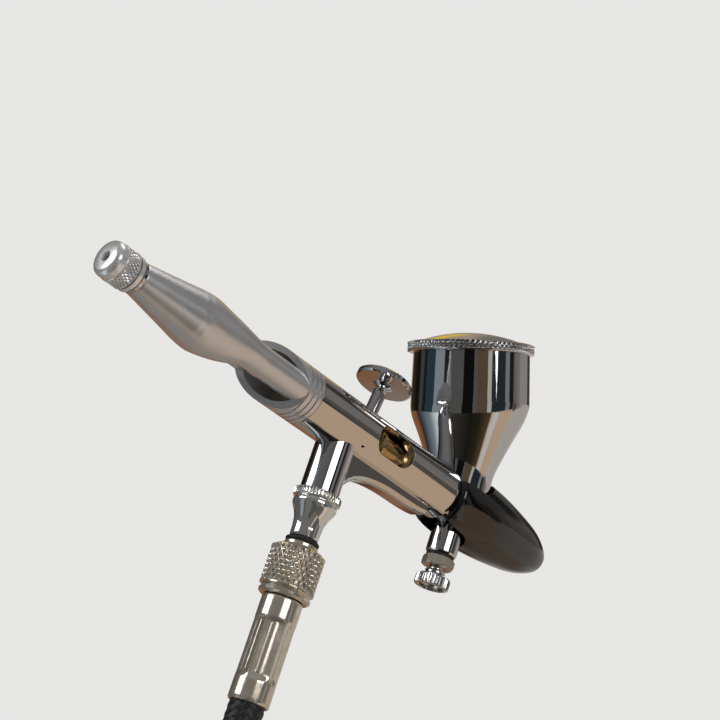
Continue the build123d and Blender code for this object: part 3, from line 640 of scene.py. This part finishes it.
# Outlines below are (along, radius) pairs in millimetres. Places from 0 upwards are counted from the
# part's first end, and places from 0 downwards from its last end.
KNOB_SIDES = 180
KNOB_KNURL = {"teeth": 30, "pitch": 1.15, "depth": 0.32}
KNOB_BAND_STEP = 0.2
KNOB_MOUTH = [(0, 1.2), (0, 3.5), (0.2, 3.75)]
KNOB_GROOVE = [(-6.0, 3.75), (-5.9, 3.45), (-5.6, 3.42)]
KNOB_BAND = (-5.45, -2.45)
KNOB_END = [
    (-2.3, 3.82), (-1.25, 3.80), (-0.95, 3.76), (-0.6, 3.62), (-0.3, 3.36), (-0.12, 3.1), (0, 2.75),
    (0, 1.15), (-0.12, 0.98), (-0.35, 0.92), (-3.0, 0.92), (-3.0, 1.2),
]


def make_preset_knob(finishes):
    """End knob: rounded end, plain band, diamond knurl, groove and collar."""
    low, high, radius = measured("preset_knob", MIDDLE, REARWARDS)
    band = knurl_rows(high + KNOB_BAND[0], high + KNOB_BAND[1], radius + KNURL_PROUD, KNOB_BAND_STEP)
    rows = plain(KNOB_MOUTH, low) + plain(KNOB_GROOVE, high) + band + plain(KNOB_END, high)
    knob = turned_mesh(
        "preset_knob_knurled", rows, KNOB_SIDES, finishes["polished_satin"],
        axis_matrix(MIDDLE, REARWARDS), diamond_knurl(**KNOB_KNURL))
    fit(knob, "preset_knob", "preset_group")


NUT_SIDES = 168
NUT_KNURL = {"teeth": 28, "pitch": 2.1, "depth": 0.46}
NUT_BAND_STEP = 0.35
NUT_NECK = [(0, 2.9), (0, 3.35), (0.25, 3.6), (0.8, 3.65), (1.15, 4.3), (1.35, 4.95), (1.6, 5.2)]
NUT_BAND = (1.9, -2.1)
NUT_FLANGE = [
    (-1.85, 5.15), (-1.5, 5.05), (-1.2, 5.3), (-0.95, 5.5), (-0.4, 5.45), (-0.1, 5.0), (0, 4.6),
    (0, 3.25), (-1.8, 3.25), (-1.8, 4.0), (-3.6, 4.0), (-3.6, 2.9),
]


def make_hose_nut(finishes):
    """Union nut with a coarse diamond knurl between a plain neck and a chamfered flange."""
    low, high, radius = measured("hose_nut", MIDDLE, DOWN)
    band = knurl_rows(low + NUT_BAND[0], high + NUT_BAND[1], radius + KNURL_PROUD, NUT_BAND_STEP)
    nut = turned_mesh(
        "hose_nut_knurled", plain(NUT_NECK, low) + band + plain(NUT_FLANGE, high), NUT_SIDES,
        finishes["nickel"], axis_matrix(MIDDLE, DOWN), diamond_knurl(**NUT_KNURL))
    fit(nut, "hose_nut", "hose_nut_group")


CASING_SIDES = 168
CASING_TEETH = {"teeth": 42, "depth": 0.42}
CASING_BORE_R = 1.5
CASING_TOP_R = 4.7
CASING_NECK = [
    (1.75, 4.55), (2.0, 4.62), (2.4, 4.72), (2.9, 4.7), (3.4, 4.55), (3.9, 4.3), (4.5, 3.95),
    (5.2, 3.62), (6.0, 3.36), (7.0, 3.2), (8.2, 3.1), (9.4, 3.08), (9.9, 3.0), (10.1, 2.7),
]
THREAD_PITCH = 0.75
THREAD_CREST_R = 2.7
THREAD_ROOT_R = 2.38
THREAD_START = 11.0
THREAD_STOP = 0.6
CASING_END = [(-0.3, 2.7), (0, 2.5), (0, CASING_BORE_R)]


def make_valve_casing(finishes):
    """Valve fitting: toothed collar, round shoulder, waisted neck and hose thread."""
    low, high, radius = measured("valve_casing", MIDDLE, DOWN)
    teeth = [(low + 0.05, radius, 0.3), (low + 0.25, radius, 1.0), (low + 1.25, radius, 1.0),
             (low + 1.5, radius - 0.05, 0.3)]
    first = low + THREAD_START
    thread = []
    for turn in range(int((high - THREAD_STOP - first) / THREAD_PITCH)):
        crest = first + turn * THREAD_PITCH
        thread += [(crest, THREAD_CREST_R), (crest + THREAD_PITCH / 2, THREAD_ROOT_R)]
    top = plain([(0, CASING_BORE_R), (0, CASING_TOP_R)], low)
    rows = top + teeth + plain(CASING_NECK, low) + plain(thread) + plain(CASING_END, high)
    casing = turned_mesh(
        "valve_casing_toothed", rows, CASING_SIDES, finishes["fitting_chrome"],
        axis_matrix(MIDDLE, DOWN), straight_knurl(**CASING_TEETH), TOOTH_CREASE)
    fit(casing, "valve_casing", "body")


MAC_SIDES = 156
MAC_TEETH = {"teeth": 26, "depth": 0.38}
MAC_POINT = [
    (0, 0.12), (1.4, 0.7), (2.0, 1.0), (2.6, 1.0), (2.6, 0.9), (3.6, 0.9), (3.6, 1.0), (4.6, 1.6),
]
MAC_NECK = [
    (-4.15, 1.6), (-4.0, 2.1), (-3.7, 2.35), (-3.35, 2.2), (-3.1, 2.0), (-2.8, 2.3), (-2.62, 3.4),
]
MAC_END = [(-0.08, 3.3), (0, 3.05), (-0.1, 2.8), (-0.9, 2.65), (-1.2, 2.3), (-1.2, 0.12)]


def make_mac_screw(finishes):
    """Air-adjust screw with a knurled, hollow-ended knob."""
    low_corner, high_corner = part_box("mac_screw")
    origin = Vector(((low_corner.x + high_corner.x) / 2, 0, 0))
    low, high, radius = measured("mac_screw", origin, DOWN)
    teeth = [(high - 2.5, radius - 0.12, 0.3), (high - 2.2, radius, 1.0), (high - 0.45, radius, 1.0),
             (high - 0.2, radius - 0.12, 0.4)]
    rows = plain(MAC_POINT, low) + plain(MAC_NECK, high) + teeth + plain(MAC_END, high)
    screw = turned_mesh(
        "mac_screw_knurled", rows, MAC_SIDES, finishes["chrome"],
        axis_matrix(origin, DOWN), straight_knurl(**MAC_TEETH), TOOTH_CREASE)
    fit(screw, "mac_screw", "mac_screw_group")


def cup_axis():
    """(origin, axis) of the paint cup, from the lid's joint."""
    lift = next(joint for joint in frame["joints"] if joint["name"] == "lid_lift")
    axis = Vector(lift["axis"]).normalized()
    low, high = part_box("cup_lid")
    middle = (low + high) / 2
    return middle - axis * (middle.z / axis.z), axis


LID_SIDES = 390
LID_KNURL = {"teeth": 78, "pitch": 1.10, "depth": 0.50}
LID_BAND_STEP = 0.19
LID_PLUG = 2.2
LID_PLUG_R = 12.45
LID_PLUG_BORE_R = 11.65
LID_RIM = 2.2
LID_BAND = (0.22, 2.12)
DOME_R = 12.5
DOME_START = LID_RIM + 0.2
DOME_STEPS = 9
LID_VENT = [(0, 0.8), (-0.05, 0.6), (-0.8, 0.6), (-1.2, 4.0), (-1.7, 8.0)]


def make_cup_lid(finishes):
    """Domed lid with a knurled rim, a plug and a vent."""
    origin, axis = cup_axis()
    low, high, radius = measured("cup_lid", origin, axis)
    rim = low + LID_PLUG
    under = [(rim + 1.2, LID_PLUG_BORE_R - 0.05), (low, LID_PLUG_BORE_R), (low, LID_PLUG_R),
             (rim, LID_PLUG_R), (rim, radius - 0.55), (rim + 0.12, radius - 0.38)]
    teeth = knurl_rows(rim + LID_BAND[0], rim + LID_BAND[1], radius, LID_BAND_STEP)
    edge = rim + LID_RIM
    dome = [(edge, radius - 0.30), (edge + 0.08, radius - 0.45), (edge + 0.12, 13.3),
            (edge + 0.05, 12.9), (rim + DOME_START, DOME_R)]
    rise = high - rim - DOME_START
    for step in range(1, DOME_STEPS):
        share = 1 - step / DOME_STEPS
        dome.append((rim + DOME_START + rise * (1 - share ** 2), DOME_R * share))
    lid = turned_mesh(
        "cup_lid_knurled", plain(under) + teeth + plain(dome) + plain(LID_VENT, high), LID_SIDES,
        finishes["chrome"], axis_matrix(origin, axis), diamond_knurl(**LID_KNURL), TOOTH_CREASE)
    fit(lid, "cup_lid", "lid_group")


FERRULE_SIDES = 96
FERRULE_STEPS = 60
FERRULE_CREASE = 24.0
FERRULE_BORE_R = 3.25
FERRULE_HOSE_R = 3.75
CRIMP_FLATS = 6
CRIMP_DEPTH = 0.62
CRIMP_TURN = 0.32
CRIMP_FROM = 4.6
CRIMP_TO = -4.2
CRIMP_RISE = 0.9
CRIMP_FALL = 1.8


def make_ferrule(finishes):
    """Crimped sleeve: round ends and six pressed flats between them."""
    low, high, radius = measured("ferrule", MIDDLE, DOWN)
    first, last = low + 0.4, high - 0.4

    def relief(turn, along):
        around = (turn * CRIMP_FLATS + CRIMP_TURN) % 1 - 0.5
        flat = (radius - CRIMP_DEPTH) / cos(around * tau / CRIMP_FLATS)
        rise = (along - low - CRIMP_FROM) / CRIMP_RISE
        fall = (high + CRIMP_TO - along) / CRIMP_FALL
        press = min(1.0, max(0.0, rise), max(0.0, fall))
        press = press * press * (3 - 2 * press)
        return press * min(0.0, flat - radius)

    upper = [(low + 0.6, FERRULE_HOSE_R), (low + 0.6, FERRULE_BORE_R), (low, FERRULE_BORE_R),
             (low, radius - 0.35), (low + 0.12, radius - 0.12), (first, radius)]
    sleeve = [(first + (last - first) * step / FERRULE_STEPS, radius, 1.0)
              for step in range(1, FERRULE_STEPS)]
    lower = [(high - 0.35, radius), (high - 0.1, radius - 0.1), (high, radius - 0.25),
             (high, FERRULE_HOSE_R)]
    ferrule = turned_mesh(
        "ferrule_crimped", plain(upper) + sleeve + plain(lower), FERRULE_SIDES, finishes["nickel"],
        axis_matrix(MIDDLE, DOWN), relief, FERRULE_CREASE)
    fit(ferrule, "ferrule", "body")


# ---- Hose braid: two sets of flat strands that pass over two and under two ----
BRAID_STRANDS = 12
BRAID_LAY = 21.0
BRAID_STEPS = 130
YARN_SIDES = 6
YARN_R = 0.19
YARN_FLATNESS = 0.8
YARN_SPREAD = 0.158
BRAID_LIFT = 0.15
BRAID_BORE_R = 2.92
BRAID_PLAY = 0.02
CORE_DROP = 0.12
CORE_SIDES = 48
YARN_CREASE = 60.0


def strand_path(way, strand, ply, low, high, middle):
    """(centre, outward, tangent) along one yarn of a strand that winds one way round Z."""
    start = tau * strand / BRAID_STRANDS + ply * YARN_SPREAD
    for step in range(BRAID_STEPS + 1):
        along = low + (high - low) * step / BRAID_STEPS
        wound = tau * (along - low) / BRAID_LAY
        angle = start + way * wound
        weave = way * cos(BRAID_STRANDS * wound / 2 - way * pi / 4 + way * pi * strand)
        reach = middle + BRAID_LIFT * weave
        outward = Vector((cos(angle), sin(angle), 0))
        slope = way * tau * middle / BRAID_LAY
        tangent = Vector((-sin(angle) * slope, cos(angle) * slope, 1)).normalized()
        yield outward * reach + Vector((0, 0, along)), outward, tangent


def add_yarn(points, faces, path):
    """Adds one closed yarn of flattened round section."""
    start = len(points)
    for centre, outward, tangent in path:
        side = tangent.cross(outward).normalized()
        for k in range(YARN_SIDES):
            angle = tau * k / YARN_SIDES
            offset = outward * cos(angle) * YARN_FLATNESS + side * sin(angle)
            points.append(tuple(centre + offset * YARN_R))
    for step in range(BRAID_STEPS):
        for k in range(YARN_SIDES):
            a = start + step * YARN_SIDES + k
            b = start + step * YARN_SIDES + (k + 1) % YARN_SIDES
            faces.append((a, b, b + YARN_SIDES, a + YARN_SIDES))
    last = start + BRAID_STEPS * YARN_SIDES
    faces.append(tuple(start + k for k in reversed(range(YARN_SIDES))))
    faces.append(tuple(last + k for k in range(YARN_SIDES)))


def make_hose_braid(finishes):
    """Woven jacket of the hose over a thin dark sleeve."""
    low, high, radius = measured("hose_braid", MIDDLE, DOWN)
    middle = radius - YARN_FLATNESS * YARN_R - BRAID_LIFT - BRAID_PLAY
    core = middle - CORE_DROP
    rows = [(low, BRAID_BORE_R), (low, core), (high - 0.1, core), (high, core - 0.2),
            (high, BRAID_BORE_R)]
    points, faces = turned_faces(plain(rows), CORE_SIDES, None)
    for way in (1, -1):
        for strand in range(BRAID_STRANDS):
            for ply in (-1, 0, 1):
                add_yarn(points, faces, strand_path(way, strand, ply, low + 0.2, high - 0.1, middle))
    place = axis_matrix(MIDDLE, DOWN)
    braid = link_mesh(
        "hose_braid_woven", points, faces, finishes["hose_cloth"], place, YARN_CREASE)
    fit(braid, "hose_braid", "body")


def make_springs(finishes):
    """Coil springs: copies of the CAD nodes that the joints load, in spring steel."""
    for joint in frame["joints"]:
        for held in joint.get("deforming_nodes", []):
            node, letter = held["node"], held["mode"][-1]
            axis = Vector([float(letter == name) for name in "xyz"])
            low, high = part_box(node)
            keep = 1 - max(joint["range_m"]) / (high - low).dot(axis)
            spring = bpy.data.objects.new(node + "_coil", frame["nodes"][node].data.copy())
            spring.data.materials.clear()
            spring.data.materials.append(finishes["spring_steel"])
            bpy.context.scene.collection.objects.link(spring)
            fit(spring, node, "body")
            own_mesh(spring)


# ---------------------------------------------------------------- assembly


def dress_frame(finishes):
    """Gives every CAD node that stays the finish of its material slot."""
    for node in frame["nodes"].values():
        for slot in node.material_slots:
            slot.material = finishes[slot.material.name.split(".")[0]]


make_camera()
make_world()
make_lights()
make_floor()
finishes = make_finishes()
dress_frame(finishes)
make_preset_knob(finishes)
make_hose_nut(finishes)
make_valve_casing(finishes)
make_mac_screw(finishes)
make_cup_lid(finishes)
make_ferrule(finishes)
make_hose_braid(finishes)
make_springs(finishes)
bpy.context.scene.view_settings.view_transform = "Standard"
